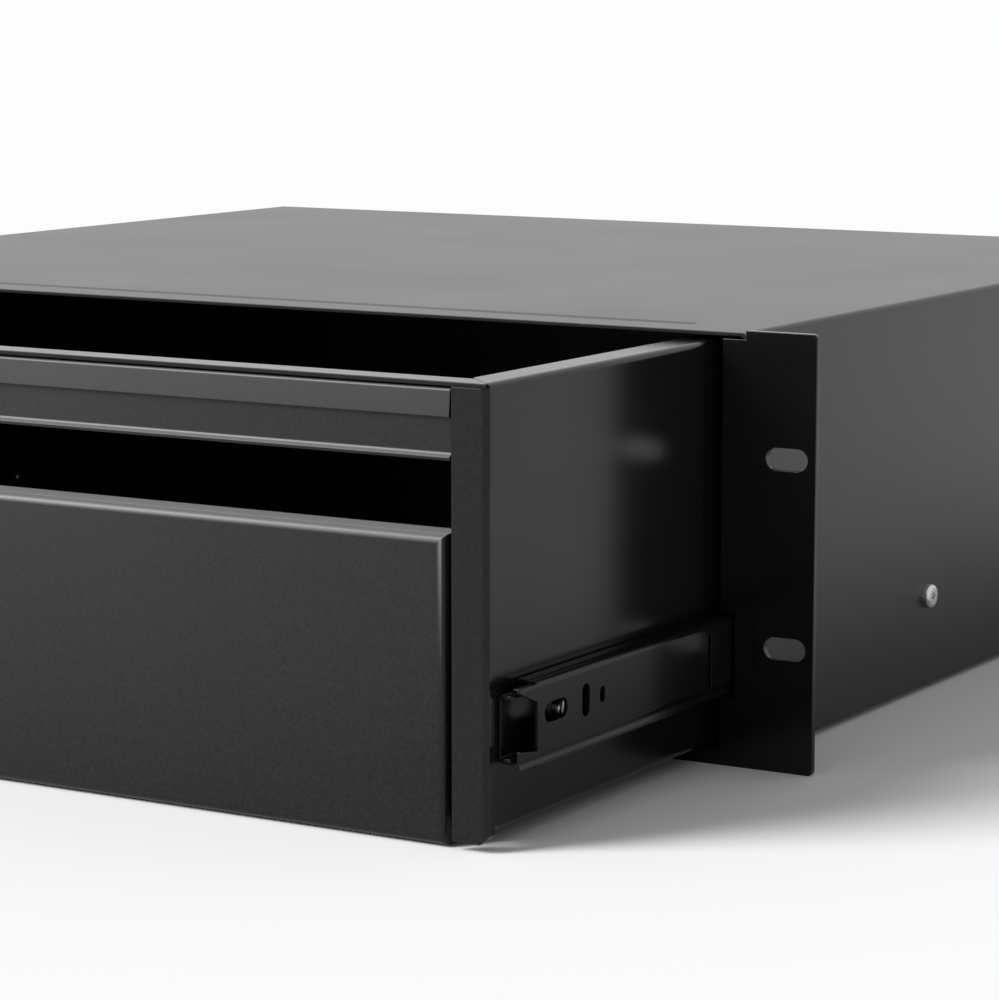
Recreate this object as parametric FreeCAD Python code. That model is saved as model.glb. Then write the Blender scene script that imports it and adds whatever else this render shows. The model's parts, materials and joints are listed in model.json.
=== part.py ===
import FreeCAD, Part
import math
import os
from FreeCAD import Vector

# A three unit drawer for a 19 inch rack: a folded steel case with rack ears, and a folded steel
# drawer that runs in it on two ball bearing slides. Lengths are in millimetres. X is across the
# rack, Y runs from the front to the back and Z is up. The origin lies in the middle of the four
# rack slots, in the plane where the ears seat on the rack. The drawer is modelled partly open.

# Rack interface
rack_width = 482.6
rack_height = 132.5
slot_inset = 9.5
slot_spacing_z = 57.15
slot_length = 13.8
slot_height = 6.8
ear_sheet = 2.0
ear_corner = 1.5

# Case
ear_reach = 23.3
case_drop = 0.7
case_lift = 2.5
case_rear_room = 37.7
case_sheet = 1.2
case_bend = 2.0
case_flange = 12.0
sill_height = 5.0
post_gap = 3.2
notch_gap = 0.7
bead_width = 6.0
bead_depth = 0.5
bead_setback = 17.0
bead_end = 26.0

# Drawer
drawer_rear_room = 16.7
drawer_sheet = 1.2
drawer_bend = 2.0
drawer_flange = 11.2
sill_gap = 0.6
top_gap = 1.6
mitre_gap = 0.3
strip_lift = 2.4
strip_chamfer = 2.4
panel_lift = 0.6
panel_bend = 1.6
panel_lip = 12.0
panel_foot_lip = 16.0
panel_lip_margin = 4.0
panel_side_gap = 2.2
finger_gap = 19.8
finger_side = 2.2
pull_height = 20.7
pull_lip_angle = 55.0
pull_lip_bend = 2.1
hem_height = 8.4
hem_slit = 0.1
seat_gap = 0.1
close_gap = 0.3

# Slides
slide_thickness = 9.8
slide_length = 350.0
slide_lift = 31.8
slide_inset = 5.3
slide_setback = 0.3
outer_sheet = 1.2
outer_bend = 3.0
outer_flange = 6.9
member_sheet = 1.1
middle_half = 12.2
middle_bend = 1.8
middle_flange = 6.6
inner_bend = 1.8
inner_flange = 4.3
web_gap = 1.2
outer_ball_setback = 2.5
inner_ball_across = 2.3
ball_diameter = 2.4
ball_gap = 0.08
groove_depth = 0.4
pocket_gap = 0.12
cage_sheet = 0.5
cage_bend = 1.0
outer_cage_edge = 3.0
inner_cage_edge = 0.5
cage_length = 104.0
cage_margin = 10.0
balls_in_row = 4
ball_sides = 10
ball_rings = 5
tab_length = 9.4
tab_half = 11.4
tab_depth = 2.2
notch_root = (-7.4, 6.3)
notch_mouth = (-6.0, 10.2)
web_groove_drop = 9.3
web_groove_depth = 0.5
web_groove_radius = 3.2
bumper_height = 14.0
bumper_corner = 0.8
bumper_lap = 0.2

# Travel from the pose that is modelled
rest_extension = 120.0
middle_travel = 60.0
drawer_travel = 175.0

# Screws: case to slide, slide to drawer, front wall to front panel
case_screw_radius = 2.0
case_head_radius = 4.0
case_head_height = 2.4
case_screw_first = 132.0
case_screw_last = 32.0
case_screw_drop = 2.2
drawer_screw_radius = 1.6
drawer_head_radius = 3.2
drawer_head_height = 1.8
drawer_screw_first = 32.5
drawer_screw_last = 41.5
panel_screw_radius = 1.5
panel_head_radius = 2.9
panel_head_height = 1.7
panel_screw_pitch = 320.0
screw_hole_gap = 0.1
screw_end = 1.0
screw_sides = 16

# Holes in the middle member's web: place behind its front tips, height above its middle, length
# along the slide and height
access_slot_places = (19.4, slide_length - 56.0)
web_holes = [(place, 2.4, 12.4, 5.8) for place in access_slot_places]
web_holes += [(36.0, 2.2, 4.2, 9.4), (45.4, 2.2, 2.8, 4.6), (110.3, 0.0, 2.5, 17.4)]

# Levels
panel_base_z = -rack_height / 2
sill_top_z = panel_base_z + sill_height
case_base_z = panel_base_z + case_lift
case_top_z = rack_height / 2 - case_drop
tray_base_z = sill_top_z + sill_gap
drawer_top_z = case_top_z - case_sheet - top_gap
floor_z = tray_base_z + drawer_sheet
flange_seat_z = drawer_top_z - drawer_sheet - seat_gap
pull_base_z = flange_seat_z - pull_height
hem_base_z = flange_seat_z - hem_height
panel_low_z = panel_base_z + panel_lift
panel_high_z = pull_base_z - finger_gap
slide_z = case_base_z + slide_lift

# Places across the rack
slot_spacing_x = rack_width - 2 * slot_inset
case_half = rack_width / 2 - ear_reach
case_inner = case_half - case_sheet
drawer_half = case_inner - slide_thickness
drawer_inner = drawer_half - drawer_sheet
panel_half = drawer_half - drawer_flange - panel_side_gap
post_inner = drawer_half + post_gap

# Places from front to back
case_front_y = -ear_sheet
panel_depth = drawer_flange - drawer_sheet
closed_y = case_front_y - close_gap - panel_depth
front_y = closed_y - rest_extension
wall_y = front_y + drawer_flange
outer_front_y = slide_setback
outer_rear_y = outer_front_y + slide_length
case_rear_y = outer_rear_y + case_rear_room
member_front_y = front_y + slide_inset
member_rear_y = member_front_y + slide_length
rear_y = member_rear_y + drawer_rear_room
closed_rear_y = member_rear_y + rest_extension

# Slide section, measured from the drawer's side (across) and from the slide's middle (up). The
# flanges nest, and each row of balls runs between grooves in the two flanges that face it.
ball_radius = ball_diameter / 2
groove_radius = ball_radius + ball_gap
flange_gap = 2 * (groove_radius - groove_depth)
middle_face = slide_thickness - outer_sheet - web_gap
outer_half = middle_half + flange_gap + outer_sheet
inner_half = middle_half - member_sheet - flange_gap
outer_ball_across = middle_face - outer_ball_setback
outer_ball_up = middle_half + flange_gap / 2
inner_ball_up = inner_half + flange_gap / 2


def corner_turn(before, corner, after):
    # Signed angle of a corner in a flat path, left turns positive.
    first = math.atan2(corner[1] - before[1], corner[0] - before[0])
    second = math.atan2(after[1] - corner[1], after[0] - corner[0])
    return (second - first + math.pi) % (2 * math.pi) - math.pi


def offset_left(points, distance):
    # The same flat open path, moved to its left.
    normals = []
    for start, end in zip(points, points[1:]):
        length = math.hypot(end[0] - start[0], end[1] - start[1])
        normals.append(((start[1] - end[1]) / length, (end[0] - start[0]) / length))
    moved = [(points[0][0] + distance * normals[0][0], points[0][1] + distance * normals[0][1])]
    for corner, first, second in zip(points[1:-1], normals, normals[1:]):
        share = distance / (1 + first[0] * second[0] + first[1] * second[1])
        moved.append((corner[0] + share * (first[0] + second[0]), corner[1] + share * (first[1] + second[1])))
    moved.append((points[-1][0] + distance * normals[-1][0], points[-1][1] + distance * normals[-1][1]))
    return moved


def path_edges(points, radii, place):
    # Lines along an open flat path, with an arc of the given radius at each inner corner.
    edges = []
    start = place(points[0])
    for before, corner, after, radius in zip(points, points[1:], points[2:], radii):
        turn = corner_turn(before, corner, after)
        here = place(corner)
        back = (place(before) - here).normalize()
        ahead = (place(after) - here).normalize()
        reach = radius * math.tan(abs(turn) / 2)
        middle = (back + ahead).normalize() * (radius / math.cos(turn / 2) - radius)
        arc_start = here + back * reach
        arc_end = here + ahead * reach
        edges.append(Part.LineSegment(start, arc_start).toShape())
        edges.append(Part.Arc(arc_start, here + middle, arc_end).toShape())
        start = arc_end
    edges.append(Part.LineSegment(start, place(points[-1])).toShape())
    return edges


def along_x(point):
    return Vector(0, point[0], point[1])


def along_y(point):
    return Vector(point[0], 0, point[1])


def along_z(point):
    return Vector(point[0], point[1], 0)


directions = {along_x: Vector(1, 0, 0), along_y: Vector(0, 1, 0), along_z: Vector(0, 0, 1)}


def prism(edges, place, start, end):
    # The flat closed outline, drawn out from start to end.
    face = Part.Face(Part.Wire(edges))
    face.translate(directions[place] * start)
    return face.extrude(directions[place] * (end - start))


def sheet(points, thickness, bend, place, start, end):
    # Folded sheet: the path is one face of the metal, which lies to the path's left.
    turns = [corner_turn(*three) for three in zip(points, points[1:], points[2:])]
    near = [bend if turn > 0 else bend - thickness for turn in turns]
    far = [bend - thickness if turn > 0 else bend for turn in turns]
    outside = path_edges(points, near, place)
    inside_points = offset_left(points, thickness)
    inside = path_edges(inside_points[::-1], far[::-1], place)
    caps = [
        Part.LineSegment(place(points[-1]), place(inside_points[-1])).toShape(),
        Part.LineSegment(place(inside_points[0]), place(points[0])).toShape(),
    ]
    return prism(outside + caps[:1] + inside + caps[1:], place, start, end)


def plate(points, place, start, end):
    # Flat piece with a straight sided outline.
    corners = [place(point) for point in points]
    return prism(Part.makePolygon(corners + corners[:1]).Edges, place, start, end)


def block(low, high):
    return Part.makeBox(high[0] - low[0], high[1] - low[1], high[2] - low[2], Vector(*low))


def rounded_edges(shape, radius, chosen):
    return shape.makeFillet(radius, [edge for edge in shape.Edges if chosen(edge)])


def obround(centre, width, height, place, start, end):
    # Slot with round ends; the longer of width and height is its length.
    radius = min(width, height) / 2
    across = width / 2 - radius
    up = height / 2 - radius
    ends = [(centre[0] - across, centre[1] - up), (centre[0] + across, centre[1] + up)]
    side = (-radius, 0) if up else (0, radius)
    corners = [place((point[0] + sign * side[0], point[1] + sign * side[1])) for point, sign in
               ((ends[0], 1), (ends[1], 1), (ends[1], -1), (ends[0], -1))]
    beyond = (0, radius) if up else (radius, 0)
    tips = [place((ends[1][0] + beyond[0], ends[1][1] + beyond[1])),
            place((ends[0][0] - beyond[0], ends[0][1] - beyond[1]))]
    edges = [
        Part.LineSegment(corners[0], corners[1]).toShape(),
        Part.Arc(corners[1], tips[0], corners[2]).toShape(),
        Part.LineSegment(corners[2], corners[3]).toShape(),
        Part.Arc(corners[3], tips[1], corners[0]).toShape(),
    ]
    return prism(edges, place, start, end)


def ring_points(x, y, radius, sides):
    # Corners of a regular polygon.
    turn = 2 * math.pi / sides
    angles = [turn * index for index in range(sides)]
    return [(x + radius * math.cos(angle), y + radius * math.sin(angle)) for angle in angles]


def faceted_turning(outline, sides):
    # Turned shape with flat facets about the Z axis, for small pieces that are many and stay light.
    # The outline gives a radius and a height for each ring, from the lowest to the highest.
    rings = []
    for radius, height in outline:
        corners = [Vector(x, y, height) for x, y in ring_points(0, 0, radius, sides)]
        rings.append(corners + corners[:1])
    faces = []
    for (low_radius, _), (high_radius, _), low, high in zip(outline, outline[1:], rings, rings[1:]):
        for index in range(sides):
            corners = [low[index]]
            if low_radius:
                corners.append(low[index + 1])
            if high_radius:
                corners.append(high[index + 1])
            corners += [high[index], low[index]]
            faces.append(Part.Face(Part.makePolygon(corners)))
    return Part.Solid(Part.Shell(faces)).removeSplitter()


def pan_screw(seat, direction, radius, head_radius, head_height, length):
    # Round head with a chamfered rim standing on its seat, shank into the metal, and a cross recess.
    outline = [(0, -length), (radius, -length), (radius, 0), (head_radius, 0),
               (head_radius, head_height * 0.4), (head_radius * 0.86, head_height * 0.75),
               (head_radius * 0.5, head_height), (0, head_height)]
    screw = faceted_turning(outline, screw_sides)
    arm = head_radius * 0.5
    half_slot = head_radius * 0.1
    low = head_height * 0.5
    for x, y in ((arm, half_slot), (half_slot, arm)):
        screw = screw.cut(block((-x, -y, low), (x, y, head_height + 1)))
    screw.Placement = FreeCAD.Placement(seat, FreeCAD.Rotation(Vector(0, 0, 1), direction))
    return screw


def hole(seat, direction, radius, length):
    # Round hole that runs as far before the seat as behind it.
    return Part.makeCylinder(radius, 2 * length, seat - direction * length, direction)


def mirrored(shape):
    return shape.mirror(Vector(0, 0, 0), Vector(1, 0, 0))


def both_sides(shape):
    return Part.makeCompound([shape, mirrored(shape)])


def section(points):
    # Slide section points to places on the right hand slide.
    return [(drawer_half + across, slide_z + up) for across, up in points]


# Seats of the screws
case_screw_z = slide_z - case_screw_drop
case_screw_seats = [Vector(case_half, y, case_screw_z)
                    for y in (outer_front_y + case_screw_first, outer_rear_y - case_screw_last)]
drawer_screw_seats = [Vector(drawer_half + member_sheet, y, slide_z)
                      for y in (member_front_y + drawer_screw_first, member_rear_y - drawer_screw_last)]
panel_screw_levels = (panel_low_z + panel_foot_lip - panel_lip_margin,
                      panel_high_z - panel_lip + panel_lip_margin)
panel_screw_seats = [Vector(side * panel_screw_pitch / 2, wall_y, level)
                     for side in (-1, 1) for level in panel_screw_levels]
grip_screw_z = (pull_base_z + hem_base_z) / 2
grip_screw_x = panel_half - drawer_sheet - panel_lip / 2
panel_screw_seats += [Vector(side * grip_screw_x, wall_y, grip_screw_z) for side in (-1, 1)]


def front_frame():
    # Flat plate: two rack ears, a post beside each slide and the sill under the drawer.
    half = rack_width / 2
    shoulder_z = case_top_z - case_bend
    outline = [(-half, -rack_height / 2), (half, -rack_height / 2), (half, rack_height / 2),
               (case_half, rack_height / 2), (case_half, shoulder_z), (post_inner, shoulder_z),
               (post_inner, sill_top_z), (-post_inner, sill_top_z), (-post_inner, shoulder_z),
               (-case_half, shoulder_z), (-case_half, rack_height / 2), (-half, rack_height / 2)]
    frame = plate(outline, along_y, case_front_y, 0)

    def is_outer_corner(edge):
        box = edge.BoundBox
        return abs(abs(box.Center.x) - half) < 1e-6 and box.YLength > ear_sheet / 2 and box.ZLength < 1e-6

    frame = rounded_edges(frame, ear_corner, is_outer_corner)
    for x in (-slot_spacing_x / 2, slot_spacing_x / 2):
        for z in (-slot_spacing_z / 2, slot_spacing_z / 2):
            frame = frame.cut(obround((x, z), slot_length, slot_height, along_y, case_front_y - 1, 1))
    notch_half = middle_half + notch_gap
    notch = block((post_inner - 1, case_front_y - 1, slide_z - notch_half),
                  (drawer_half + middle_face + notch_gap, 1, slide_z + notch_half))
    return frame.cut(both_sides(notch))


def case_wrap():
    # Top and both sides, with a pressed bead across the top behind the front edge.
    path = [(case_half, case_base_z), (case_half, case_top_z),
            (-case_half, case_top_z), (-case_half, case_base_z)]
    wrap = sheet(path, case_sheet, case_bend, along_y, case_front_y, case_rear_y)
    shoulder_z = case_top_z - case_bend
    plate_place = block((-case_half - 1, case_front_y - 1, case_base_z - 1), (case_half + 1, 0, shoulder_z))
    wrap = wrap.cut(plate_place)
    bead_middle = case_front_y + bead_setback
    bead_reach = case_half - bead_end
    groove = [(bead_middle - bead_width / 2, case_top_z), (bead_middle, case_top_z - bead_depth),
              (bead_middle + bead_width / 2, case_top_z)]
    ridge = [(y, z - case_sheet) for y, z in groove]
    wrap = wrap.fuse(plate(ridge, along_x, -bead_reach, bead_reach))
    wrap = wrap.cut(plate(groove, along_x, -bead_reach, bead_reach))
    radius = case_screw_radius + screw_hole_gap
    for seat in case_screw_seats:
        wrap = wrap.cut(both_sides(hole(seat, Vector(1, 0, 0), radius, case_sheet * 2)))
    return wrap


def case_bottom():
    # Floor of the case, with a flange up each side; the flanges end where the rear panel's begin.
    flange_z = case_base_z + case_flange
    path = [(-case_inner, flange_z), (-case_inner, case_base_z),
            (case_inner, case_base_z), (case_inner, flange_z)]
    bottom = sheet(path, case_sheet, case_bend, along_y, 0, case_rear_y)
    relief = block((case_inner - case_bend, case_rear_y - case_flange, case_base_z + case_sheet),
                   (case_inner + 1, case_rear_y + 1, flange_z + 1))
    return bottom.cut(both_sides(relief))


def case_rear_panel():
    # Pan that closes the case's back, with a flange forward on all four sides.
    low_z = case_base_z + case_sheet
    high_z = case_top_z - case_sheet
    front = case_rear_y - case_flange
    path = [(front, low_z), (case_rear_y, low_z), (case_rear_y, high_z), (front, high_z)]
    across = case_inner - case_bend
    panel = sheet(path, case_sheet, case_bend, along_x, -across, across)
    side_path = [(case_inner, front), (case_inner, case_rear_y),
                 (-case_inner, case_rear_y), (-case_inner, front)]
    sides = sheet(side_path, case_sheet, case_bend, along_z, low_z + case_bend, high_z - case_bend)
    return panel.fuse(sides)


def channel(across_edge, across_web, half, thickness, bend, start, end):
    # Slide member: a web and two flanges, its outside at the given places in the section.
    corners = [(across_edge, -half), (across_web, -half), (across_web, half), (across_edge, half)]
    if across_edge > across_web:
        corners = corners[::-1]
    return sheet(section(corners), thickness, bend, along_y, start, end)


def grooved(member, ball_across, ball_up, start, end):
    # The member with a groove for each of the two rows of balls.
    for side in (-1, 1):
        centre = Vector(drawer_half + ball_across, start - 1, slide_z + side * ball_up)
        member = member.cut(Part.makeCylinder(groove_radius, end - start + 2, centre, Vector(0, 1, 0)))
    return member


def slide_outer():
    # Cabinet member: a channel on the case's side, open to the drawer.
    member = channel(slide_thickness - outer_flange, slide_thickness, outer_half, outer_sheet, outer_bend,
                     outer_front_y, outer_rear_y)
    member = grooved(member, outer_ball_across, outer_ball_up, outer_front_y, outer_rear_y)
    slot_size = 2 * (case_screw_radius + screw_hole_gap)
    for seat in case_screw_seats:
        centre = (seat.y, seat.z + case_screw_drop / 2)
        slot = obround(centre, slot_size, slot_size + case_screw_drop, along_x,
                       case_inner - 2 * outer_sheet, case_inner + outer_sheet)
        member = member.cut(slot)
    return member


def slide_middle():
    # Middle member: balls run outside and inside its flanges; its web is notched between two tabs,
    # and has a rolled groove along its lower edge.
    member = channel(middle_face - middle_flange, middle_face, middle_half, member_sheet, middle_bend,
                     member_front_y, member_rear_y)
    member = grooved(member, outer_ball_across, outer_ball_up, member_front_y, member_rear_y)
    member = grooved(member, inner_ball_across, inner_ball_up, member_front_y, member_rear_y)
    inside = drawer_half + middle_face - 2 * member_sheet
    outside = drawer_half + middle_face + 1
    root_y = member_front_y + tab_length
    mouth = [(member_front_y, slide_z + notch_mouth[0]), (root_y, slide_z + notch_root[0]),
             (root_y, slide_z + notch_root[1]), (member_front_y, slide_z + notch_mouth[1])]
    member = member.cut(plate(mouth, along_x, inside, outside))
    tabs = block((drawer_half + middle_face - tab_depth, member_front_y, slide_z - tab_half),
                 (outside, root_y, slide_z + tab_half))
    front = block((drawer_half - 1, member_front_y - 1, slide_z - middle_half - 1),
                  (outside, root_y, slide_z + middle_half + 1))
    member = member.cut(front.cut(tabs))
    groove = Part.makeCylinder(web_groove_radius, slide_length + 2,
                               Vector(outside - 1 + web_groove_radius - web_groove_depth, member_front_y - 1,
                                      slide_z - web_groove_drop), Vector(0, 1, 0))
    member = member.cut(groove)
    for place, rise, width, height in web_holes:
        member = member.cut(obround((member_front_y + place, slide_z + rise), width, height, along_x,
                                    inside, outside))
    return member


def slide_inner():
    # Drawer member: a narrow channel on the drawer's side, open to the case.
    member = channel(inner_flange, 0, inner_half, member_sheet, inner_bend, member_front_y, member_rear_y)
    member = grooved(member, inner_ball_across, inner_ball_up, member_front_y, member_rear_y)
    radius = drawer_screw_radius + screw_hole_gap
    for seat in drawer_screw_seats:
        member = member.cut(hole(seat, Vector(1, 0, 0), radius, 2 * member_sheet))
    return member


def ball_places(start):
    pitch = cage_length / balls_in_row
    return [start + pitch * (index + 0.5) for index in range(balls_in_row)]


def ball_cage(start, web_across, ball_across, ball_up, edge_across):
    # Thin channel that spaces both rows of balls, with a pocket through it for each ball.
    cage = channel(edge_across, web_across, ball_up + cage_sheet / 2, cage_sheet, cage_bend,
                   start, start + cage_length)
    for y in ball_places(start):
        pocket_radius = (ball_radius + pocket_gap) / math.cos(math.pi / ball_sides)
        pocket = ring_points(drawer_half + ball_across, y, pocket_radius, ball_sides)
        reach = ball_up + ball_diameter
        cage = cage.cut(plate(pocket, along_z, slide_z - reach, slide_z + reach))
    return cage


def ball(centre):
    rings = [(0, -ball_radius)]
    for index in range(1, ball_rings):
        latitude = math.pi * (index / ball_rings - 0.5)
        rings.append((ball_radius * math.cos(latitude), ball_radius * math.sin(latitude)))
    rings.append((0, ball_radius))
    shape = faceted_turning(rings, ball_sides)
    shape.translate(centre)
    return shape


def balls(start, ball_across, ball_up):
    places = [Vector(drawer_half + ball_across, y, slide_z + side * ball_up)
              for y in ball_places(start) for side in (-1, 1)]
    return Part.makeCompound([ball(place) for place in places])


def rear_bumper():
    # Rubber block in the end of the cabinet member, which stops the middle member.
    low_across = drawer_half + middle_face - member_sheet - bumper_lap
    bumper = block((low_across, closed_rear_y + close_gap / 2, slide_z - bumper_height / 2),
                   (case_inner - outer_sheet, outer_rear_y, slide_z + bumper_height / 2))
    return rounded_edges(bumper, bumper_corner, lambda edge: edge.BoundBox.XLength > case_sheet)


def drawer_tray():
    # Floor, sides, top flanges and front strips, folded from one sheet.
    flange_edge = drawer_half - drawer_flange
    path = [(-flange_edge, drawer_top_z), (-drawer_half, drawer_top_z), (-drawer_half, tray_base_z),
            (drawer_half, tray_base_z), (drawer_half, drawer_top_z), (flange_edge, drawer_top_z)]
    tray = sheet(path, drawer_sheet, drawer_bend, along_y, front_y + drawer_bend, rear_y)
    floor_end = block((-drawer_half + drawer_bend, front_y, tray_base_z - 1),
                      (drawer_half - drawer_bend, wall_y - drawer_sheet, tray_base_z + drawer_bend))
    tray = tray.cut(floor_end)
    corner = [(drawer_half + 1, front_y - 1), (drawer_half + 1, front_y + mitre_gap - 1),
              (flange_edge - 1, wall_y + mitre_gap + 1), (flange_edge - 1, front_y - 1)]
    mitre = plate(corner, along_z, flange_seat_z, drawer_top_z + 1)
    tray = tray.cut(both_sides(mitre))
    strip_base_z = panel_base_z + strip_lift
    strip_path = [(flange_edge, front_y), (drawer_half, front_y), (drawer_half, front_y + 2 * drawer_bend)]
    strip = sheet(strip_path, drawer_sheet, drawer_bend, along_z, strip_base_z, flange_seat_z)
    chamfer = [(drawer_half - strip_chamfer, strip_base_z - 1), (drawer_half - strip_chamfer, strip_base_z),
               (drawer_half + 1, strip_base_z + strip_chamfer + 1), (drawer_half + 1, strip_base_z - 1)]
    strip = strip.cut(plate(chamfer, along_y, front_y - 1, front_y + 3 * drawer_bend))
    tray = tray.fuse(both_sides(strip)).removeSplitter()
    radius = drawer_screw_radius + screw_hole_gap
    for seat in drawer_screw_seats:
        tray = tray.cut(both_sides(hole(seat, Vector(1, 0, 0), radius, 3 * drawer_sheet)))
    return tray


def drawer_front_wall():
    # Inner front wall: a foot on the floor, an opening for fingers, and a flange forward over the
    # panel and strips.
    across = drawer_inner - (drawer_bend - drawer_sheet)
    foot_z = floor_z + drawer_sheet
    seam_z = drawer_top_z - 2 * drawer_bend
    path = [(wall_y + drawer_flange, foot_z), (wall_y, foot_z), (wall_y, seam_z)]
    wall = sheet(path, drawer_sheet, drawer_bend, along_x, -across, across)
    cap_path = [(wall_y, seam_z), (wall_y, drawer_top_z), (front_y + seat_gap, drawer_top_z)]
    cap = sheet(cap_path, drawer_sheet, drawer_bend, along_x, -drawer_half, drawer_half)
    flange_edge = drawer_half - drawer_flange
    corner = [(drawer_half, front_y), (drawer_half + 1, front_y), (drawer_half + 1, wall_y + 1),
              (flange_edge - 1, wall_y + 1)]
    cap = cap.cut(both_sides(plate(corner, along_z, drawer_top_z - drawer_flange, drawer_top_z + 1)))
    wall = wall.fuse(cap).removeSplitter()
    reach_half = panel_half - finger_side
    wall = wall.cut(block((-reach_half, wall_y - 2 * drawer_sheet, panel_high_z),
                          (reach_half, wall_y + drawer_sheet, pull_base_z)))
    for seat in panel_screw_seats:
        wall = wall.cut(hole(seat, Vector(0, 1, 0), panel_screw_radius + screw_hole_gap, 2 * drawer_sheet))
    return wall


def drawer_rear_wall():
    # Rear wall: a foot on the floor and a flange forward between the tray's own flanges.
    across = drawer_inner - (drawer_bend - drawer_sheet)
    path = [(rear_y - drawer_flange, floor_z), (rear_y, floor_z), (rear_y, drawer_top_z),
            (rear_y - drawer_flange, drawer_top_z)]
    wall = sheet(path, drawer_sheet, drawer_bend, along_x, -across, across)
    inner_edge = drawer_half - drawer_flange - mitre_gap
    beside = block((inner_edge, rear_y - drawer_flange - 1, drawer_top_z - 2 * drawer_sheet),
                   (drawer_half, rear_y + 1, drawer_top_z + 1))
    return wall.cut(both_sides(beside))


def drawer_front_panel():
    # Shallow pan under the finger recess, with lips at the back that the wall's screws hold.
    low_z = panel_low_z
    high_z = panel_high_z
    back = front_y + panel_depth
    path = [(back, high_z - panel_lip), (back, high_z), (front_y, high_z), (front_y, low_z),
            (back, low_z), (back, low_z + panel_foot_lip)]
    panel = sheet(path, drawer_sheet, panel_bend, along_x, -panel_half, panel_half)
    filled = path_edges([(back, (low_z + high_z) / 2)] + path[1:-1] + [(back, (low_z + high_z) / 2)],
                        [panel_bend] * 4, along_x)
    side = prism(filled, along_x, panel_half - drawer_sheet, panel_half)
    panel = panel.fuse(both_sides(side))
    plan_path = [(0, back), (-panel_half, back), (-panel_half, front_y), (panel_half, front_y),
                 (panel_half, back), (0, back)]
    plan = path_edges(plan_path, [panel_bend / 4, panel_bend, panel_bend, panel_bend / 4], along_z)
    panel = panel.common(prism(plan, along_z, low_z - 1, high_z + 1))
    for seat in panel_screw_seats:
        panel = panel.cut(hole(seat, Vector(0, 1, 0), panel_screw_radius + screw_hole_gap, 3 * drawer_sheet))
    return panel.removeSplitter()


def pull_strip():
    # Strip above the finger recess, hemmed forward at its top, with an end lip to the wall. Its
    # lower edge is turned out as a lip for the fingers.
    low_z = pull_base_z
    hem_z = hem_base_z
    depth = 2 * drawer_sheet + hem_slit
    fold_z = flange_seat_z - depth / 2
    slit_front = front_y + drawer_sheet
    slit_rear = slit_front + hem_slit
    rear = front_y + depth
    lean = math.radians(pull_lip_angle)
    lip_z = low_z + (slit_rear - front_y) / math.tan(lean)
    band_z = lip_z + pull_lip_bend
    outline = [(front_y, hem_z), (front_y, fold_z), (rear, fold_z), (rear, band_z),
               (slit_rear, band_z), (slit_rear, fold_z), (slit_front, fold_z), (slit_front, hem_z)]
    corners = [along_x(point) for point in outline]
    edges = [Part.LineSegment(start, end).toShape() for start, end in zip(corners, corners[1:] + corners[:1])]
    fold_y = front_y + depth / 2
    edges[1] = Part.Arc(corners[1], along_x((fold_y, flange_seat_z)), corners[2]).toShape()
    edges[5] = Part.Arc(corners[5], along_x((fold_y, fold_z + hem_slit / 2)), corners[6]).toShape()
    strip = prism(edges, along_x, -panel_half, panel_half)
    lip_end = (front_y - drawer_sheet * math.sin(lean), low_z - drawer_sheet * math.cos(lean))
    lip = sheet([(slit_rear, band_z), (slit_rear, lip_z), lip_end], drawer_sheet, pull_lip_bend, along_x,
                -panel_half, panel_half)
    below = block((-drawer_half, front_y - panel_depth, low_z - panel_depth), (drawer_half, wall_y, low_z))
    strip = strip.fuse(lip.cut(below))
    back = front_y + panel_depth
    tab_path = [(panel_half, slit_rear + drawer_sheet / 2), (panel_half, back),
                (panel_half - panel_lip, back)]
    tab = sheet(tab_path, drawer_sheet, panel_bend, along_z, low_z, fold_z)
    strip = strip.fuse(both_sides(tab))
    for seat in panel_screw_seats:
        strip = strip.cut(hole(seat, Vector(0, 1, 0), panel_screw_radius + screw_hole_gap, 3 * drawer_sheet))
    return strip.removeSplitter()


def case_screws():
    length = case_sheet + outer_sheet
    screws = [pan_screw(seat, Vector(1, 0, 0), case_screw_radius, case_head_radius, case_head_height, length)
              for seat in case_screw_seats]
    return both_sides(Part.makeCompound(screws))


def drawer_screws():
    length = member_sheet + drawer_sheet + screw_end
    screws = [pan_screw(seat, Vector(1, 0, 0), drawer_screw_radius, drawer_head_radius,
                        drawer_head_height, length) for seat in drawer_screw_seats]
    return both_sides(Part.makeCompound(screws))


def panel_screws():
    length = 2 * drawer_sheet + screw_end
    return Part.makeCompound([
        pan_screw(seat, Vector(0, 1, 0), panel_screw_radius, panel_head_radius, panel_head_height, length)
        for seat in panel_screw_seats])


def write(name, shape):
    shape.exportStep("parts/" + name + ".step")
    print(name, len(shape.Solids), round(shape.Volume, 1), shape.isValid())


def write_pair(name, shape):
    write(name + "_right", shape)
    write(name + "_left", mirrored(shape))


os.makedirs("parts", exist_ok=True)
write("front_frame", front_frame())
write("case_wrap", case_wrap())
write("case_bottom", case_bottom())
write("case_rear_panel", case_rear_panel())
write("case_screws", case_screws())
write("drawer_tray", drawer_tray())
write("drawer_front_wall", drawer_front_wall())
write("drawer_rear_wall", drawer_rear_wall())
write("drawer_front_panel", drawer_front_panel())
write("pull_strip", pull_strip())
write("panel_screws", panel_screws())
write("drawer_screws", drawer_screws())
write_pair("slide_outer", slide_outer())
write_pair("slide_middle", slide_middle())
write_pair("slide_inner", slide_inner())
write_pair("rear_bumper", rear_bumper())

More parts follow.
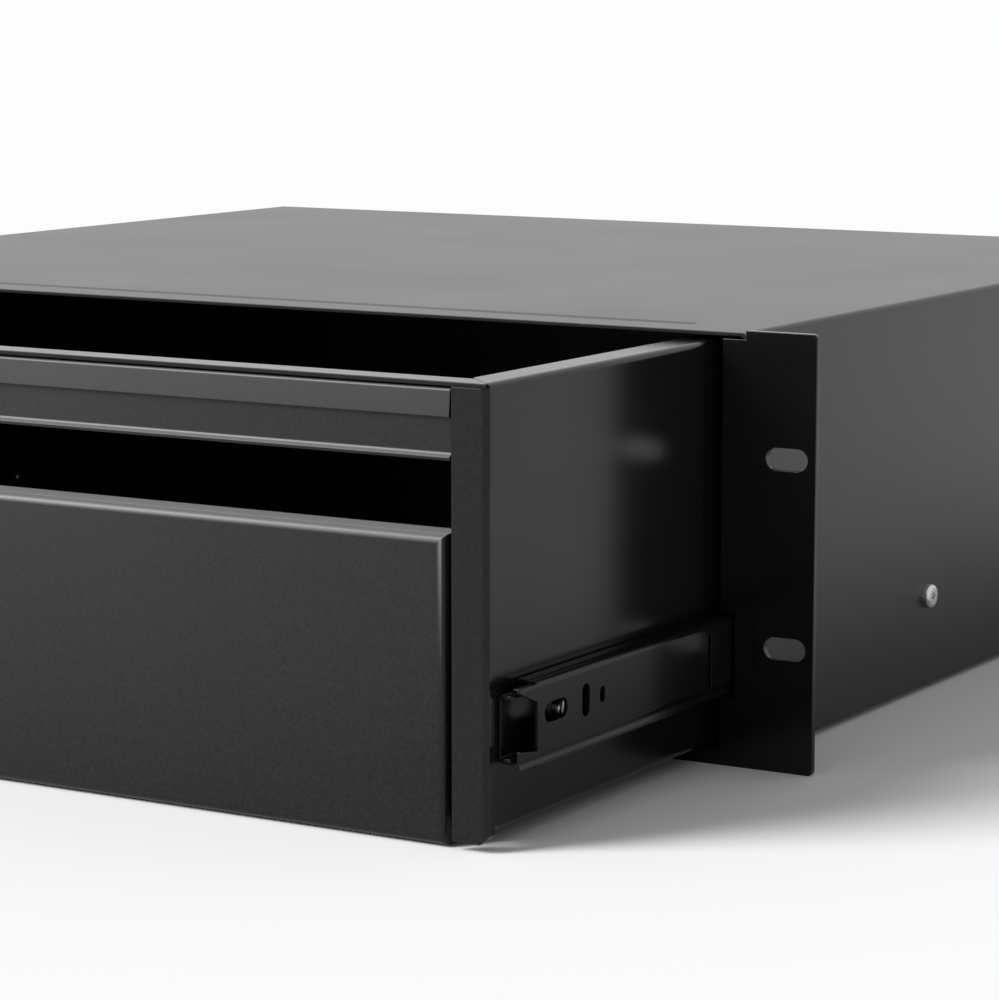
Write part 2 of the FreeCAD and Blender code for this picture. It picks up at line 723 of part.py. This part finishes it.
# The outer cage runs half as far as the middle member, the inner cage half as far as the drawer.
outer_cage_start = outer_front_y + cage_margin + middle_travel / 2
outer_web = middle_face + (web_gap + cage_sheet) / 2
write_pair("outer_cage", ball_cage(outer_cage_start, outer_web, outer_ball_across, outer_ball_up,
                                   outer_cage_edge))
write_pair("outer_balls", balls(outer_cage_start, outer_ball_across, outer_ball_up))
inner_cage_start = member_front_y + cage_margin + drawer_travel / 2
inner_web = (inner_flange + middle_face - member_sheet + cage_sheet) / 2
write_pair("inner_cage", ball_cage(inner_cage_start, inner_web, inner_ball_across, inner_ball_up,
                                   inner_cage_edge))
write_pair("inner_balls", balls(inner_cage_start, inner_ball_across, inner_ball_up))
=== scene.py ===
import bpy
import bmesh
import json
import math
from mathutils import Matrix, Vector


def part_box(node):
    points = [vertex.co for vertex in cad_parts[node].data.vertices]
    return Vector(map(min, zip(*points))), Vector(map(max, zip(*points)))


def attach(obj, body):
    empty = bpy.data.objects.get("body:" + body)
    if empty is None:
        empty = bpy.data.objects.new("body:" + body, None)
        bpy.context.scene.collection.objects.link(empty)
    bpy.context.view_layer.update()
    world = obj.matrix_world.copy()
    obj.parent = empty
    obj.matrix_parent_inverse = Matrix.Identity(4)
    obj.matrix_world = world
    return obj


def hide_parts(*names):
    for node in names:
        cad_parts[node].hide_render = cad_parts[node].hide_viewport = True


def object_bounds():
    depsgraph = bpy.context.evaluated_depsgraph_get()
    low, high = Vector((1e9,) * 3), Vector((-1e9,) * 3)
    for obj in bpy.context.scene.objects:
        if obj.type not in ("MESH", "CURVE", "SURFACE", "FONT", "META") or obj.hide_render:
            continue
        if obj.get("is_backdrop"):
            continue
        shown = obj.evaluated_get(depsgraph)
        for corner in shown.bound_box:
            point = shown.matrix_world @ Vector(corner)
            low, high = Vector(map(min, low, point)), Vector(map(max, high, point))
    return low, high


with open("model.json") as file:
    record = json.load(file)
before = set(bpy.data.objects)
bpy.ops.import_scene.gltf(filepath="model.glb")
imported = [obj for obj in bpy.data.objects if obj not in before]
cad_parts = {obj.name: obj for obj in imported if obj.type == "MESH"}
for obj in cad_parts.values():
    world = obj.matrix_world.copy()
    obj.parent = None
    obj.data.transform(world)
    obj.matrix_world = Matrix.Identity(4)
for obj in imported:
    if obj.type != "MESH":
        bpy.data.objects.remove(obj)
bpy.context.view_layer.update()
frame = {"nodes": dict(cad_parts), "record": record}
nodes = frame["nodes"]
print("frame loaded,", len(nodes), "nodes")

mm = 0.001


def hexColour(code):
    # sRGB hex to the linear colour that a shader takes
    channels = [int(code[i:i + 2], 16) / 255 for i in (1, 3, 5)]
    linear = [c / 12.92 if c <= 0.04045 else ((c + 0.055) / 1.055) ** 2.4 for c in channels]
    return (*linear, 1.0)


def newMaterial(name):
    material = bpy.data.materials.new(name)
    material.use_nodes = True
    material.node_tree.nodes.clear()
    return material


def addNode(material, kind, settings=None, links=None, **values):
    # one node: properties in settings, socket values by name, links as socket name to output socket
    node = material.node_tree.nodes.new("ShaderNode" + kind)
    for key, value in (settings or {}).items():
        setattr(node, key, value)
    for key, value in values.items():
        node.inputs[key.replace("_", " ")].default_value = value
    for key, source in (links or {}).items():
        material.node_tree.links.new(source, node.inputs[key])
    return node


def deselectAll():
    if bpy.context.object and bpy.context.object.mode != "OBJECT":
        bpy.ops.object.mode_set(mode="OBJECT")
    bpy.ops.object.select_all(action="DESELECT")


def applyModifier(obj, kind, **values):
    bpy.context.view_layer.objects.active = obj
    modifier = obj.modifiers.new(kind.title(), kind)
    for key, value in values.items():
        setattr(modifier, key, value)
    bpy.ops.object.modifier_apply(modifier=modifier.name)


# finishes
coatLook = {
    "grain": 0.65,        # mm, size of the powder coat's fine texture
    "mottle": 9.0,        # mm, size of the slow orange peel
    "flow": 70.0,         # mm, size of uneven gloss
    "edge": 0.45,         # mm, how far the coat rounds a sheet edge
    "paintedSheen": 0.18,         # how much painted sheen lightens the front around the middle of the pull
    "paintedSheenWide": 260.0,    # mm, how far that reaches to each side
    "paintedSheenTall": 110.0,    # mm, how far it reaches down
    "paintedSheenHigh": 0.3,      # height of the painted sheen's middle as a share of how far it reaches down
    "grainRise": 0.03,    # mm, height of the fine texture
    "mottleRise": 0.06,   # mm, height of the orange peel
    # pale colour that the painted highlight on upward faces and the painted sheen on the front blend towards
    "paintedLightColour": "#626264",
}


def powderCoat(name, base, lighter, roughLow, roughHigh, frontRough, paintedLightLevel, grainDepth, specular):
    # Polyester powder coat, sprayed and baked on steel: a satin black with a fine even grain, soft
    # orange peel and rounded edges, which shows pale surroundings only at a flat angle. Faces turned
    # to the front carry a heavier, rougher coat. Faces that look up get a painted highlight, and a
    # painted sheen lightens the front around the middle of the pull, fading towards the bottom.
    material = newMaterial(name)
    coordinates = addNode(material, "TexCoord")
    place = coordinates.outputs["Object"]
    grain = addNode(material, "TexNoise", links={"Vector": place}, Scale=1000 / coatLook["grain"],
                    Detail=2.0, Roughness=0.6).outputs["Fac"]
    mottle = addNode(material, "TexNoise", links={"Vector": place}, Scale=1000 / coatLook["mottle"],
                     Detail=3.0, Roughness=0.55).outputs["Fac"]
    flow = addNode(material, "TexNoise", links={"Vector": place}, Scale=1000 / coatLook["flow"],
                   Detail=2.0).outputs["Fac"]
    speckle = addNode(material, "MapRange", links={"Value": grain}, From_Min=0.35, From_Max=0.75)
    tint = addNode(material, "Mix", {"data_type": "RGBA"}, {"Factor": speckle.outputs["Result"]})
    tint.inputs[6].default_value = hexColour(base)
    tint.inputs[7].default_value = hexColour(lighter)
    turned = addNode(material, "SeparateXYZ", links={"Vector": coordinates.outputs["Normal"]}).outputs
    # painted highlight: faces that look up, such as the bends, are painted paler, fully where they face
    # halfway up or more
    paintedLightShare = addNode(material, "MapRange", links={"Value": turned["Z"]}, From_Min=0.0, From_Max=0.5,
                      To_Min=0.0, To_Max=paintedLightLevel).outputs["Result"]
    # painted sheen: a soft spot centred above the middle of the pull, paler at the top of the front and
    # fading towards the bottom
    paintedSheen = addNode(material, "Mapping", links={"Vector": place}, Location=(0, 0, -coatLook["paintedSheenHigh"]),
                   Scale=(1000 / coatLook["paintedSheenWide"], 0, 1000 / coatLook["paintedSheenTall"])).outputs["Vector"]
    paintedSheen = addNode(material, "TexGradient", {"gradient_type": "SPHERICAL"}, {"Vector": paintedSheen}).outputs["Fac"]
    paintedSheenShare = addNode(material, "MapRange", links={"Value": paintedSheen}, To_Min=0.0,
                     To_Max=paintedLightLevel * coatLook["paintedSheen"]).outputs["Result"]
    paintedLightShare = addNode(material, "Math", {"operation": "ADD"}, {0: paintedSheenShare, 1: paintedLightShare}).outputs["Value"]
    tint = addNode(material, "Mix", {"data_type": "RGBA"}, {"Factor": paintedLightShare, 6: tint.outputs[2]})
    tint.inputs[7].default_value = hexColour(coatLook["paintedLightColour"])
    gloss = addNode(material, "MapRange", links={"Value": flow}, From_Min=0.3, From_Max=0.7,
                    To_Min=roughLow, To_Max=roughHigh).outputs["Result"]
    heavier = addNode(material, "MapRange", links={"Value": turned["Y"]}, From_Min=-0.5, From_Max=-0.9,
                      To_Min=0.0, To_Max=frontRough).outputs["Result"]
    gloss = addNode(material, "Math", {"operation": "ADD"}, {0: gloss, 1: heavier}).outputs["Value"]
    edge = addNode(material, "Bevel", {"samples": 6}, Radius=coatLook["edge"] * mm).outputs["Normal"]
    peel = addNode(material, "Bump", links={"Height": mottle, "Normal": edge}, Strength=0.25,
                   Distance=coatLook["mottleRise"] * mm).outputs["Normal"]
    fine = addNode(material, "Bump", links={"Height": grain, "Normal": peel}, Strength=grainDepth,
                   Distance=coatLook["grainRise"] * mm).outputs["Normal"]
    shader = addNode(material, "BsdfPrincipled", links={"Base Color": tint.outputs[2], "Roughness": gloss,
                                                        "Normal": fine}, Specular_IOR_Level=specular)
    addNode(material, "OutputMaterial", links={"Surface": shader.outputs["BSDF"]})
    return material


def rolledCoat(name, look):
    # Black electrophoretic coat on roll formed steel: thin and smooth, with faint lines along the
    # slide left by the rolls.
    material = newMaterial(name)
    place = addNode(material, "TexCoord").outputs["Object"]
    drawn = addNode(material, "Mapping", links={"Vector": place}, Scale=(1.0, 0.02, 1.0)).outputs["Vector"]
    lines = addNode(material, "TexNoise", links={"Vector": drawn}, Scale=1000 / look["lines"],
                    Detail=2.0).outputs["Fac"]
    cloud = addNode(material, "TexNoise", links={"Vector": place}, Scale=1000 / look["cloud"],
                    Detail=3.0).outputs["Fac"]
    tint = addNode(material, "Mix", {"data_type": "RGBA"}, {"Factor": cloud})
    tint.inputs[6].default_value = hexColour("#08080a")
    tint.inputs[7].default_value = hexColour("#0e0e10")
    gloss = addNode(material, "MapRange", links={"Value": cloud}, From_Min=0.3, From_Max=0.7,
                    To_Min=0.18, To_Max=0.24).outputs["Result"]
    edge = addNode(material, "Bevel", {"samples": 6}, Radius=0.3 * mm).outputs["Normal"]
    bump = addNode(material, "Bump", links={"Height": lines, "Normal": edge}, Strength=0.15,
                   Distance=0.02 * mm).outputs["Normal"]
    shader = addNode(material, "BsdfPrincipled", links={"Base Color": tint.outputs[2], "Roughness": gloss,
                                                        "Normal": bump}, Specular_IOR_Level=0.18)
    addNode(material, "OutputMaterial", links={"Surface": shader.outputs["BSDF"]})
    return material


def platedSteel(name, base, worn, roughLow, roughHigh, grainSize):
    # Zinc plated or polished steel, drawn and tumbled: metallic, with a cloudy crystal grain and a
    # soft gloss.
    material = newMaterial(name)
    place = addNode(material, "TexCoord").outputs["Object"]
    grain = addNode(material, "TexNoise", links={"Vector": place}, Scale=1000 / grainSize, Detail=4.0,
                    Roughness=0.6).outputs["Fac"]
    tint = addNode(material, "Mix", {"data_type": "RGBA"}, {"Factor": grain})
    tint.inputs[6].default_value = hexColour(base)
    tint.inputs[7].default_value = hexColour(worn)
    gloss = addNode(material, "MapRange", links={"Value": grain}, From_Min=0.3, From_Max=0.7,
                    To_Min=roughLow, To_Max=roughHigh).outputs["Result"]
    bump = addNode(material, "Bump", links={"Height": grain}, Strength=0.1,
                   Distance=0.02 * mm).outputs["Normal"]
    shader = addNode(material, "BsdfPrincipled", links={"Base Color": tint.outputs[2], "Roughness": gloss,
                                                        "Normal": bump}, Metallic=1.0)
    addNode(material, "OutputMaterial", links={"Surface": shader.outputs["BSDF"]})
    return material


def mouldedRubber(name, look):
    # Nitrile rubber, moulded: matt and slightly dusty, with a fine pebble from the tool.
    material = newMaterial(name)
    place = addNode(material, "TexCoord").outputs["Object"]
    pebble = addNode(material, "TexNoise", links={"Vector": place}, Scale=1000 / look["pebble"],
                     Detail=2.0).outputs["Fac"]
    dust = addNode(material, "TexNoise", links={"Vector": place}, Scale=1000 / look["dust"],
                   Detail=3.0).outputs["Fac"]
    tint = addNode(material, "Mix", {"data_type": "RGBA"}, {"Factor": dust})
    tint.inputs[6].default_value = hexColour("#121212")
    tint.inputs[7].default_value = hexColour("#242321")
    bump = addNode(material, "Bump", links={"Height": pebble}, Strength=0.3,
                   Distance=0.05 * mm).outputs["Normal"]
    shader = addNode(material, "BsdfPrincipled", links={"Base Color": tint.outputs[2], "Normal": bump},
                     Roughness=0.8)
    addNode(material, "OutputMaterial", links={"Surface": shader.outputs["BSDF"]})
    return material


caseCoat = powderCoat("blackPowderCoatCase", base="#0b0b0c", lighter="#161617", roughLow=0.32,
                      roughHigh=0.34, frontRough=0.0, paintedLightLevel=0.0, grainDepth=0.35, specular=0.33)
frameCoat = powderCoat("blackPowderCoatFrame", base="#08080a", lighter="#111112", roughLow=0.15,
                       roughHigh=0.19, frontRough=0.0, paintedLightLevel=0.0, grainDepth=0.35, specular=0.28)
drawerCoat = powderCoat("blackPowderCoatDrawer", base="#0a0a0b", lighter="#19191b", roughLow=0.17,
                        roughHigh=0.22, frontRough=0.15, paintedLightLevel=0.0, grainDepth=0.45, specular=0.22)
# the front pieces take the painted highlight and the painted sheen at full strength
frontCoat = powderCoat("blackPowderCoatFront", base="#0a0a0b", lighter="#1c1c1e", roughLow=0.32,
                       roughHigh=0.38, frontRough=0.0, paintedLightLevel=1.0, grainDepth=0.45, specular=0.24)
slideCoat = rolledCoat("blackRolledSteel", {"lines": 0.8, "cloud": 14.0})
cageSteel = platedSteel("zincPlatedStrip", "#8c8c8f", "#a9a9ab", 0.3, 0.42, 3.0)
ballSteel = platedSteel("polishedBearingSteel", "#c4c4c8", "#d2d2d4", 0.06, 0.1, 0.8)
screwZinc = platedSteel("brightZincScrew", "#b4b4b6", "#cfcfd0", 0.26, 0.38, 0.9)
screwBlack = platedSteel("blackZincScrew", "#232325", "#38383a", 0.28, 0.4, 0.9)
bumperRubber = mouldedRubber("mouldedNitrile", {"pebble": 0.6, "dust": 5.0})

finishes = {"case_paint": caseCoat, "drawer_paint": drawerCoat, "slide_finish": slideCoat,
            "cage_zinc": cageSteel, "ball_steel": ballSteel, "screw_zinc": screwZinc,
            "screw_black": screwBlack, "rubber": bumperRubber}
slotOf = {entry["node"]: entry["material_slot"] for entry in frame["record"]["subparts"]}
for name, obj in nodes.items():
    obj.data.materials.clear()
    obj.data.materials.append(frameCoat if name == "front_frame" else finishes[slotOf[name]])
print("materials made")


# helpers for modelling
def selectFaces(obj, chosen):
    # edit mode with just the chosen faces selected
    bpy.ops.object.mode_set(mode="EDIT")
    bpy.ops.mesh.select_mode(type="FACE")
    bpy.ops.mesh.select_all(action="DESELECT")
    mesh = bmesh.from_edit_mesh(obj.data)
    for face in mesh.faces:
        face.select_set(chosen(face))
    bmesh.update_edit_mesh(obj.data)


def selectEdges(obj, chosen):
    # edit mode with just the chosen edges selected
    bpy.ops.object.mode_set(mode="EDIT")
    bpy.ops.mesh.select_mode(type="EDGE")
    bpy.ops.mesh.select_all(action="DESELECT")
    mesh = bmesh.from_edit_mesh(obj.data)
    for edge in mesh.edges:
        edge.select_set(chosen(edge))
    bmesh.update_edit_mesh(obj.data)


def placedCopy(source, location, turn):
    # a copy with its own mesh, its place applied
    deselectAll()
    source.select_set(True)
    bpy.context.view_layer.objects.active = source
    bpy.ops.object.duplicate()
    copy = bpy.context.object
    copy.location = location
    copy.rotation_euler = turn
    bpy.ops.object.transform_apply(location=True, rotation=True, scale=True)
    return copy


def joinPieces(made, name):
    deselectAll()
    for piece in made:
        piece.select_set(True)
    bpy.context.view_layer.objects.active = made[0]
    bpy.ops.object.join()
    whole = bpy.context.object
    whole.name = name
    return whole


def dressPiece(piece, material, body, slot, *replaced):
    piece.data.materials.clear()
    piece.data.materials.append(material)
    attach(piece, body)
    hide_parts(*replaced)


# screws: lengths are in mm, crown and depth are shares of the head's height, cross and blade of its width
screwShape = {"sides": 36, "crownSteps": 5, "crownProfile": 0.6, "tip": 0.25, "taper": (0.35, 0.6, 1),
              "smooth": 35}


def makeScrew(look):
    # Pan head screw, seat at the origin and head up, with a tapered cross recess.
    deselectAll()
    radius, height = look["radius"] * mm, look["height"] * mm
    bpy.ops.mesh.primitive_cylinder_add(vertices=screwShape["sides"], radius=radius, depth=height,
                                        location=(0, 0, height / 2))
    screw = bpy.context.object
    bpy.ops.object.transform_apply(location=True, rotation=True, scale=True)
    selectEdges(screw, lambda edge: all(vert.co.z > height * 0.9 for vert in edge.verts))
    bpy.ops.mesh.bevel(offset=height * look["crown"], segments=screwShape["crownSteps"],
                       profile=screwShape["crownProfile"], affect="EDGES")
    selectFaces(screw, lambda face: face.normal.z < -0.9)
    bpy.ops.mesh.inset(thickness=radius - look["shank"] * mm)
    bpy.ops.mesh.extrude_region_move(TRANSFORM_OT_translate={"value": (0, 0, -look["length"] * mm)})
    bpy.ops.mesh.inset(thickness=look["shank"] * mm * screwShape["tip"])
    bpy.ops.transform.translate(value=(0, 0, -look["shank"] * mm * screwShape["tip"]))
    bpy.ops.object.mode_set(mode="OBJECT")
    blades = []
    for turn in (0, math.pi / 2):
        deselectAll()
        bpy.ops.mesh.primitive_cube_add(size=1, location=(0, 0, height), rotation=(0, 0, turn + look["turn"]),
                                        scale=(2 * radius * look["cross"], 2 * radius * look["blade"],
                                               2 * height * look["depth"]))
        blade = bpy.context.object
        selectFaces(blade, lambda face: face.normal.z < -0.9)
        bpy.ops.transform.resize(value=screwShape["taper"])
        bpy.ops.object.mode_set(mode="OBJECT")
        bpy.ops.object.transform_apply(location=True, rotation=True, scale=True)
        blades.append(blade)
    for blade in blades:
        deselectAll()
        applyModifier(screw, "BOOLEAN", operation="DIFFERENCE", solver="EXACT", object=blade)
        bpy.data.objects.remove(blade, do_unlink=True)
    deselectAll()
    screw.select_set(True)
    bpy.context.view_layer.objects.active = screw
    bpy.ops.object.shade_smooth_by_angle(angle=math.radians(screwShape["smooth"]))
    return screw


caseScrew = {"radius": 4.0, "height": 2.4, "shank": 2.0, "length": 2.4, "crown": 0.62, "cross": 0.5,
             "blade": 0.13, "depth": 0.55, "turn": 0.35}
drawerScrew = {"radius": 3.2, "height": 1.8, "shank": 1.6, "length": 2.9, "crown": 0.6, "cross": 0.5,
               "blade": 0.14, "depth": 0.6, "turn": 0.6}
panelScrew = {"radius": 2.9, "height": 1.7, "shank": 1.5, "length": 2.9, "crown": 0.6, "cross": 0.5,
              "blade": 0.14, "depth": 0.6, "turn": 0.2, "pitch": 320.0, "up": 12.0, "down": 8.0}


def makeSideScrews(look, node, name, body):
    # Two screws on each side, heads outwards, where the node's box has them.
    low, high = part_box(node)
    master = makeScrew(look)
    made = []
    for side in (-1, 1):
        for y in (low.y + look["radius"] * mm, high.y - look["radius"] * mm):
            place = (side * (high.x - look["height"] * mm), y, (low.z + high.z) / 2)
            made.append(placedCopy(master, place, (0, side * math.pi / 2, 0)))
    bpy.data.objects.remove(master, do_unlink=True)
    dressPiece(joinPieces(made, name), screwZinc, body, "screw_zinc", node)


def makePanelScrews(look):
    # Screws through the front wall, heads inside the drawer.
    low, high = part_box("panel_screws")
    panelLow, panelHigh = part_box("drawer_front_panel")
    master = makeScrew(look)
    y = high.y - look["height"] * mm
    places = [(look["pitch"] / 2 * mm, panelLow.z + look["up"] * mm),
              (look["pitch"] / 2 * mm, panelHigh.z - look["down"] * mm),
              (high.x - look["radius"] * mm, high.z - look["radius"] * mm)]
    made = [placedCopy(master, (side * x, y, z), (-math.pi / 2, 0, 0)) for x, z in places for side in (-1, 1)]
    bpy.data.objects.remove(master, do_unlink=True)
    dressPiece(joinPieces(made, "panelScrewsDriven"), screwBlack, "drawer", "screw_black", "panel_screws")


makeSideScrews(caseScrew, "case_screws", "caseScrewsDriven", "case")
makeSideScrews(drawerScrew, "drawer_screws", "drawerScrewsDriven", "drawer")
makePanelScrews(panelScrew)
print("screws made")


ballLook = {"inRow": 4, "cuts": 5}


def makeBalls(look, node, body):
    # Round balls where the node has its two rows.
    low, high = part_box(node)
    radius = (high.x - low.x) / 2
    deselectAll()
    bpy.ops.mesh.primitive_cube_add(size=2 * radius)
    master = bpy.context.object
    bpy.ops.object.mode_set(mode="EDIT")
    bpy.ops.mesh.select_all(action="SELECT")
    bpy.ops.mesh.subdivide(number_cuts=look["cuts"])
    bpy.ops.transform.tosphere(value=1)
    bpy.ops.object.mode_set(mode="OBJECT")
    bpy.ops.object.shade_smooth()
    made = []
    for index in range(look["inRow"]):
        y = low.y + radius + (high.y - low.y - 2 * radius) * index / (look["inRow"] - 1)
        for z in (low.z + radius, high.z - radius):
            made.append(placedCopy(master, ((low.x + high.x) / 2, y, z), (0, 0, 0)))
    bpy.data.objects.remove(master, do_unlink=True)
    dressPiece(joinPieces(made, node.replace("_", "") + "Round"), ballSteel, body, "ball_steel", node)


for side in ("left", "right"):
    makeBalls(ballLook, "outer_balls_" + side, "outer_cage_" + side)
    makeBalls(ballLook, "inner_balls_" + side, "inner_cage_" + side)
print("balls made")

# folded sheet pieces of the drawer's front: lengths are in mm
closeEnough = 0.02 * mm  # corners nearer than this to a level lie at it


def foldSheet(piece, look):
    # thickness about the sheet's middle, then slightly rounded sheared edges
    deselectAll()
    applyModifier(piece, "SOLIDIFY", thickness=look["sheet"] * mm, offset=0, use_even_offset=True)
    applyModifier(piece, "BEVEL", width=look["edge"] * mm, segments=2, limit_method="ANGLE",
                  angle_limit=math.radians(50))
    piece.select_set(True)
    bpy.context.view_layer.objects.active = piece
    bpy.ops.object.shade_smooth_by_angle(angle=math.radians(30))
    applyModifier(piece, "WEIGHTED_NORMAL", keep_sharp=True)


def near(value, target):
    return abs(value - target) < closeEnough


def addPanelPlane(centre, turn, size):
    # flat start of a folded piece, its place applied
    deselectAll()
    bpy.ops.mesh.primitive_plane_add(size=1, location=centre, rotation=turn)
    plane = bpy.context.object
    plane.scale = (*size, 1)
    bpy.ops.object.transform_apply(location=True, rotation=True, scale=True)
    return plane


pullStrip = {
    "sheet": 1.2, "edge": 0.2,
    "reach": 1.5,         # past the solid strip at each end, to the posts
    "lipRise": 1.9,       # height of the bend of the lip above its lower edge
    "lipOut": 1.5,        # how far the lip leans out
    "lipFall": 1.075,     # how far it falls
    "lipRound": 0.78,
    "hemGap": 1.32,       # from the middle of the band to the middle of the hem
    "hemDrop": 8.4,       # height of the hem
    "hemLean": 0.62,      # how far the hem's top leans back
    "foldDrop": 0.62,     # from the top down to the fold
    "foldCrest": 0.124,   # how much the fold rises over it
    "foldRound": 0.31,
    "tab": 12.0,          # length of the tabs against the wall
    "tabIn": 0.8,         # how far the tabs stand in from the solid strip's ends
}


def makePullStrip(look):
    # Strip above the finger opening: lower edge turned out as a lip, upper edge hemmed forward, and
    # a tab at each end back to the wall.
    low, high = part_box("pull_strip")
    sheet = look["sheet"] * mm
    hemY = low.y + sheet / 2
    bandY = hemY + look["hemGap"] * mm
    lipZ = low.z + look["lipRise"] * mm
    foldZ = high.z - sheet / 2 - look["foldDrop"] * mm
    half = high.x + look["reach"] * mm
    strip = addPanelPlane((0, bandY, (lipZ + foldZ) / 2), (math.pi / 2, 0, 0), (2 * half, foldZ - lipZ))
    selectEdges(strip, lambda edge: all(near(vert.co.z, lipZ) for vert in edge.verts))
    bpy.ops.mesh.extrude_region_move(TRANSFORM_OT_translate={
        "value": (0, -look["lipOut"] * mm, -look["lipFall"] * mm)})
    selectEdges(strip, lambda edge: all(near(vert.co.z, foldZ) for vert in edge.verts))
    bpy.ops.mesh.extrude_region_move(TRANSFORM_OT_translate={
        "value": (0, hemY - bandY + look["hemLean"] * mm, look["foldCrest"] * mm)})
    topZ = foldZ + look["foldCrest"] * mm
    selectEdges(strip, lambda edge: all(near(vert.co.z, topZ) for vert in edge.verts))
    bpy.ops.mesh.extrude_region_move(TRANSFORM_OT_translate={
        "value": (0, -look["hemLean"] * mm, high.z - look["hemDrop"] * mm - topZ)})
    selectEdges(strip, lambda edge: any(all(near(vert.co.z, level) for vert in edge.verts)
                                        for level in (topZ, foldZ)))
    bpy.ops.mesh.bevel(offset=look["foldRound"] * mm, segments=4, affect="EDGES")
    selectEdges(strip, lambda edge: all(near(vert.co.z, lipZ) for vert in edge.verts))
    bpy.ops.mesh.bevel(offset=look["lipRound"] * mm, segments=5, affect="EDGES")
    bpy.ops.object.mode_set(mode="OBJECT")
    tabs = []
    wallY = high.y - sheet / 2
    for side in (-1, 1):
        x = side * (high.x - sheet / 2 - look["tabIn"] * mm)
        tab = addPanelPlane((x, (bandY + sheet / 2 + wallY) / 2, (lipZ + foldZ) / 2), (0, math.pi / 2, 0),
                            (foldZ - lipZ - 2 * sheet, wallY - bandY - sheet / 2))
        selectEdges(tab, lambda edge: all(near(vert.co.y, wallY) for vert in edge.verts))
        bpy.ops.mesh.extrude_region_move(TRANSFORM_OT_translate={"value": (-side * look["tab"] * mm, 0, 0)})
        bpy.ops.object.mode_set(mode="OBJECT")
        tabs.append(tab)
    strip = joinPieces([strip] + tabs, "pullStripFolded")
    foldSheet(strip, look)
    dressPiece(strip, frontCoat, "drawer", "drawer_paint", "pull_strip")


makePullStrip(pullStrip)

frontPanel = {"sheet": 1.2, "bend": 2.7, "mitre": 4.0, "topLip": 12.0, "footLip": 16.0, "edge": 0.2}


def makeFrontPanel(look):
    # Shallow pan with softly rolled front edges and lips at the back.
    low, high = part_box("drawer_front_panel")
    inset = look["sheet"] / 2 * mm
    low, high = low + Vector((inset, inset, inset)), high - Vector((inset, inset, inset))
    deselectAll()
    bpy.ops.mesh.primitive_cube_add(size=1, location=(low + high) / 2)
    panel = bpy.context.object
    panel.scale = high - low
    bpy.ops.object.transform_apply(location=True, rotation=True, scale=True)
    selectFaces(panel, lambda face: face.normal.y > 0.9)
    bpy.ops.mesh.delete(type="ONLY_FACE")
    selectEdges(panel, lambda edge: all(near(vert.co.y, low.y) for vert in edge.verts))
    bpy.ops.mesh.bevel(offset=(look["bend"] - look["sheet"] / 2) * mm, segments=6, affect="EDGES")
    for levelZ, drop in ((high.z, -look["topLip"]), (low.z, look["footLip"])):
        selectEdges(panel, lambda edge: all(near(vert.co.z, levelZ) and near(vert.co.y, high.y)
                                            for vert in edge.verts))
        bpy.ops.mesh.extrude_region_move(TRANSFORM_OT_translate={"value": (0, 0, drop * mm)})
        bpy.ops.transform.resize(value=(1 - look["mitre"] / 100, 1, 1))
    bpy.ops.object.mode_set(mode="OBJECT")
    panel.name = "frontPanelFolded"
    foldSheet(panel, look)
    dressPiece(panel, frontCoat, "drawer", "drawer_paint", "drawer_front_panel")


makeFrontPanel(frontPanel)
print("front pieces made")

# floor, light and camera: lengths are in metres, the lens in mm, angles in degrees
studio = {"floorSize": 80, "floorWhite": (0.9, 0.9, 0.9, 1), "fill": 0.4, "seen": 1.0}


def makeFloor(look):
    deselectAll()
    bpy.ops.mesh.primitive_plane_add(size=look["floorSize"], location=(0, 0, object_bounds()[0].z))
    floor = bpy.context.object
    floor.name = "studioFloor"
    material = newMaterial("paleStudioFloor")
    shader = addNode(material, "BsdfDiffuse", Color=look["floorWhite"])
    addNode(material, "OutputMaterial", links={"Surface": shader.outputs["BSDF"]})
    floor.data.materials.append(material)
    floor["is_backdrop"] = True


makeFloor(studio)

# white all round as the camera and the gloss see it, and a weaker fill on everything else
world =bpy.data.worlds.new("studioWhite")
bpy.context.scene.world = world
world.use_nodes = True
world.node_tree.nodes.clear()
rays = addNode(world, "LightPath")
seen = addNode(world, "Math", {"operation": "MAXIMUM"}, {0: rays.outputs["Is Camera Ray"],
                                                         1: rays.outputs["Is Glossy Ray"]})
seen = addNode(world, "Math", {"operation": "MAXIMUM"}, {0: seen.outputs[0],
                                                         1: rays.outputs["Is Transmission Ray"]})
level = addNode(world, "MapRange", links={"Value": seen.outputs[0]}, To_Min=studio["fill"],
                To_Max=studio["seen"])
glow = addNode(world, "Background", links={"Strength": level.outputs["Result"]}, Color=(1, 1, 1, 1))
addNode(world, "OutputWorld", links={"Surface": glow.outputs["Background"]})

# a tall softbox at the front left, as two discs one above the other
keyLight = {"azimuth": (-0.68, -0.73), "spread": 24, "discs": {26: 2.35, 42: 1.7}}
for elevation, strength in keyLight["discs"].items():
    data = bpy.data.lights.new("keySoftbox" + str(elevation), "SUN")
    data.angle = math.radians(keyLight["spread"])
    data.energy = strength
    light = bpy.data.objects.new(data.name, data)
    bpy.context.collection.objects.link(light)
    level, rise = math.cos(math.radians(elevation)), math.sin(math.radians(elevation))
    towards = Vector((keyLight["azimuth"][0] * level, keyLight["azimuth"][1] * level, rise))
    light.location = towards * 2
    light.rotation_euler = towards.to_track_quat("Z", "Y").to_euler()

shot = {"at": (0.6908, -0.93016, 0.17287), "heading": 31.0226, "pitch": 8.6115, "lens": 126.757}
cameraData = bpy.data.cameras.new("viewCamera")
cameraData.lens = shot["lens"]
cameraData.sensor_width = 36
cameraData.clip_start = 0.01
camera = bpy.data.objects.new("viewCamera", cameraData)
bpy.context.collection.objects.link(camera)
camera.location = shot["at"]
camera.rotation_euler = (math.radians(90 - shot["pitch"]), 0, math.radians(shot["heading"]))
bpy.context.scene.camera = camera
bpy.context.scene.view_settings.view_transform = "Standard"
print("studio made")
